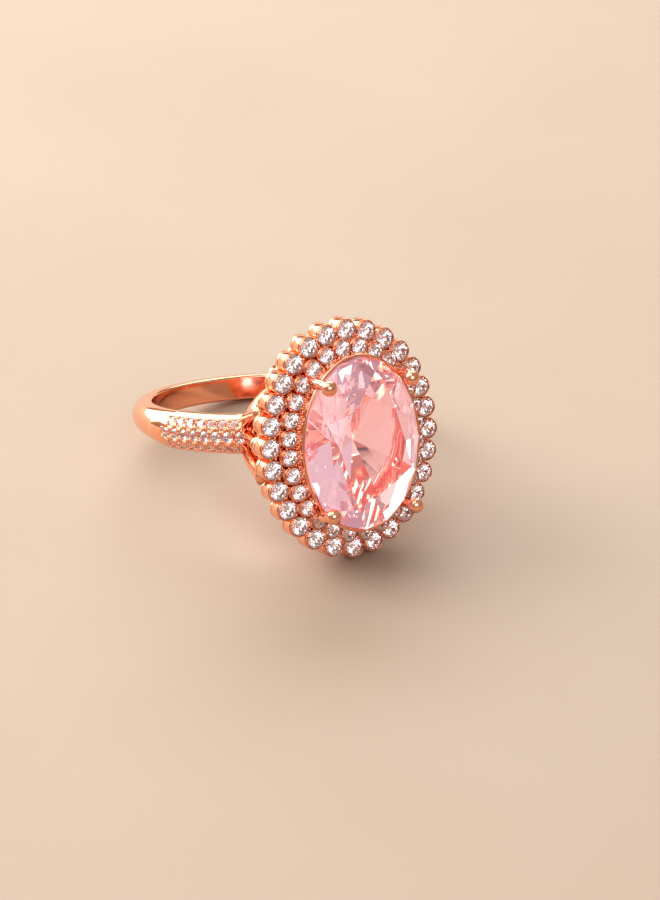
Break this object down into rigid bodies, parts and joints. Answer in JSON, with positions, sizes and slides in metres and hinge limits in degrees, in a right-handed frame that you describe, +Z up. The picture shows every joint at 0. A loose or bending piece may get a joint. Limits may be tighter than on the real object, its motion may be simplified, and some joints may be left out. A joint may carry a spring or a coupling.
{
  "type": "cocktail ring",
  "caption": "Finger ring with a large pink oval stone in four ball claws, a double scalloped halo of small clear stones and pave-set shoulders on a rose gold band.",
  "frame": {"origin": "middle of the base of the ring's box as it lies on a table, on the table's surface", "axes": "+X is the horizontal direction that the head faces, +Z is up and +Y follows by the right hand. The ring lies on the backs of the two lowest neighbouring halo cups and on the lower back edge of its shank, so its head points up from the table by 19.2 degrees and is turned by 9.1 degrees about its own normal."},
  "size_m": [0.0312, 0.0232, 0.0188],
  "materials": {
    "rose_gold": "high polish",
    "pink_stone": "faceted and polished",
    "clear_stone": "faceted and polished"
  },
  "bodies": {
    "root": {"basket_struts": "rose_gold", "centre_collet": "rose_gold", "centre_stone": "pink_stone", "claw_lower_left": "rose_gold", "claw_lower_right": "rose_gold", "claw_upper_left": "rose_gold", "claw_upper_right": "rose_gold", "finger_bridge": "rose_gold", "gallery_rail": "rose_gold", "inner_halo_stones_lower_left": "clear_stone", "inner_halo_stones_lower_right": "clear_stone", "inner_halo_stones_upper_left": "clear_stone", "inner_halo_stones_upper_right": "clear_stone", "inner_halo_tier": "rose_gold", "left_shoulder_panel": "rose_gold", "left_shoulder_stones_lower": "clear_stone", "left_shoulder_stones_middle": "clear_stone", "left_shoulder_stones_upper": "clear_stone", "left_shoulder_struts": "rose_gold", "outer_halo_stone_01": "clear_stone", "outer_halo_stone_02": "clear_stone", "outer_halo_stone_03": "clear_stone", "outer_halo_stone_04": "clear_stone", "outer_halo_stone_05": "clear_stone", "outer_halo_stone_06": "clear_stone", "outer_halo_stone_07": "clear_stone", "outer_halo_stone_08": "clear_stone", "outer_halo_stone_09": "clear_stone", "outer_halo_stone_10": "clear_stone", "outer_halo_stone_11": "clear_stone", "outer_halo_stone_12": "clear_stone", "outer_halo_stone_13": "clear_stone", "outer_halo_stone_14": "clear_stone", "outer_halo_stone_15": "clear_stone", "outer_halo_stone_16": "clear_stone", "outer_halo_stone_17": "clear_stone", "outer_halo_stone_18": "clear_stone", "outer_halo_stone_19": "clear_stone", "outer_halo_stone_20": "clear_stone", "outer_halo_stone_21": "clear_stone", "outer_halo_stone_22": "clear_stone", "outer_halo_stone_23": "clear_stone", "outer_halo_stone_24": "clear_stone", "outer_halo_stone_25": "clear_stone", "outer_halo_stone_26": "clear_stone", "outer_halo_stone_27": "clear_stone", "outer_halo_stone_28": "clear_stone", "outer_halo_tier": "rose_gold", "right_shoulder_panel": "rose_gold", "right_shoulder_stones_lower": "clear_stone", "right_shoulder_stones_middle": "clear_stone", "right_shoulder_stones_upper": "clear_stone", "right_shoulder_struts": "rose_gold", "shank": "rose_gold"}
  },
  "joints": []
}
